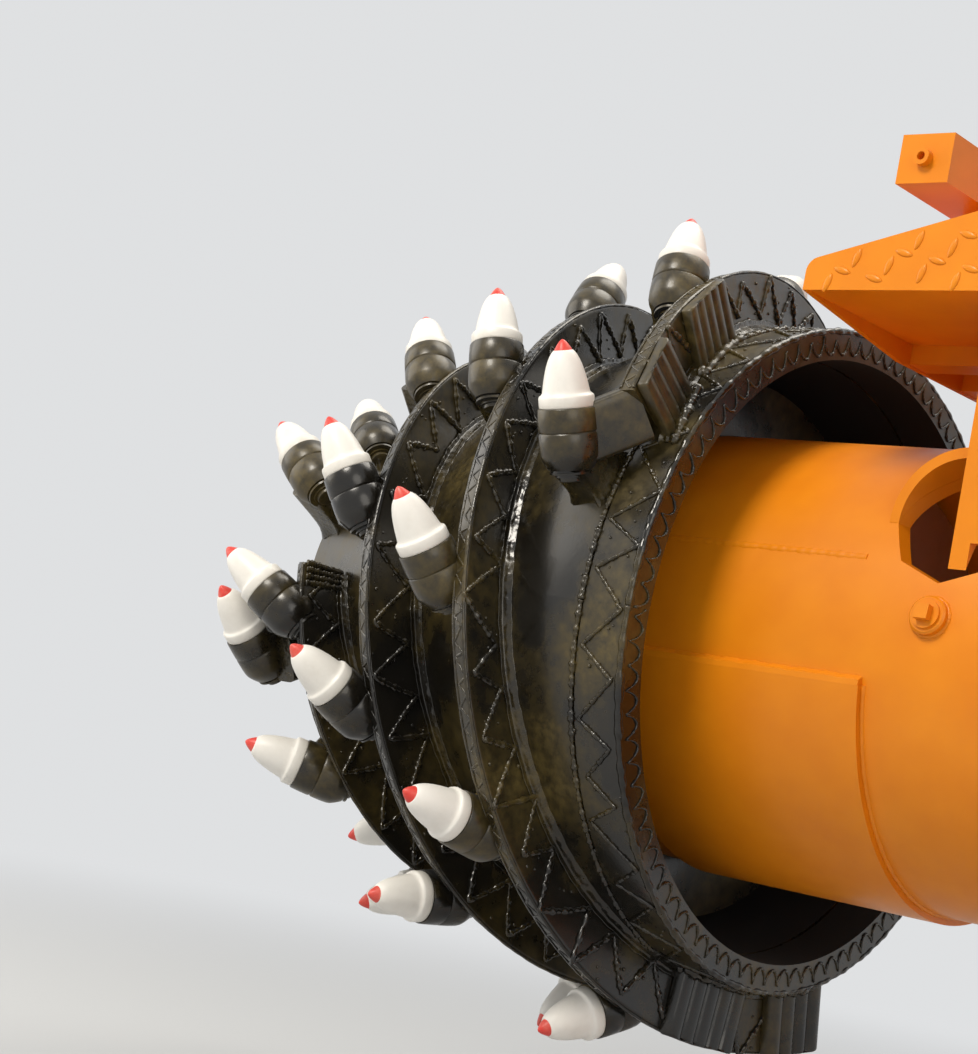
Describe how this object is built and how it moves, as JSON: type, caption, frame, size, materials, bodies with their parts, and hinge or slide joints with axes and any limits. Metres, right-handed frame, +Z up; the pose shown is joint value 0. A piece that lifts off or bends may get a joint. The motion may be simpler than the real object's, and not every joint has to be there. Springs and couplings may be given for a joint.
{
  "type": "trencher cutting drum on its arm",
  "caption": "Tapered cutting drum with helical flights and laced conical picks, overhung on a tubular arm with a bolted flange, tread-plate guard and hose port.",
  "frame": {"origin": "centre of the arm's mounting face, on the bolt circle's axis", "axes": "+X out of the mounting face towards the machine, along the drum's axis; +Z up"},
  "size_m": [1.2906, 0.9803, 1.006],
  "materials": {
    "black_paint": "gloss",
    "orange_paint": "satin",
    "white_cap": "satin",
    "red_tip": "satin",
    "bare_steel": "machined"
  },
  "bodies": {
    "arm": {"arm_tube": "orange_paint", "mount_flange": "orange_paint", "flange_gussets": "orange_paint", "wear_saddle": "orange_paint", "gearbox": "bare_steel", "seal_carrier": "black_paint", "plug_boss": "orange_paint", "filler_plug": "orange_paint", "port_hood": "orange_paint", "guard_sides": "orange_paint", "guard_deck": "orange_paint", "guard_floor": "orange_paint", "guard_stringers": "orange_paint", "guard_legs": "orange_paint", "cross_beam": "orange_paint", "beam_lugs": "orange_paint", "beam_plug": "orange_paint"},
    "drum": {"barrel": "black_paint", "mouth_ring": "black_paint", "nose_plate": "black_paint", "nose_cover": "black_paint", "drive_web": "black_paint", "drive_hub": "bare_steel", "flight_1": "black_paint", "wear_blocks_1": "black_paint", "holders_1": "black_paint", "picks_1": "white_cap", "tips_1": "red_tip", "flight_2": "black_paint", "wear_blocks_2": "black_paint", "holders_2": "black_paint", "picks_2": "white_cap", "tips_2": "red_tip", "flight_3": "black_paint", "wear_blocks_3": "black_paint", "holders_3": "black_paint", "picks_3": "white_cap", "tips_3": "red_tip", "holders_crown": "black_paint", "picks_crown": "white_cap", "tips_crown": "red_tip"}
  },
  "joints": [
    {"name": "drum_spin", "type": "hinge", "parent": "arm", "child": "drum", "pos_m": [-0.9, 0, 0], "axis": [-1, 0, 0], "continuous": true}
  ]
}
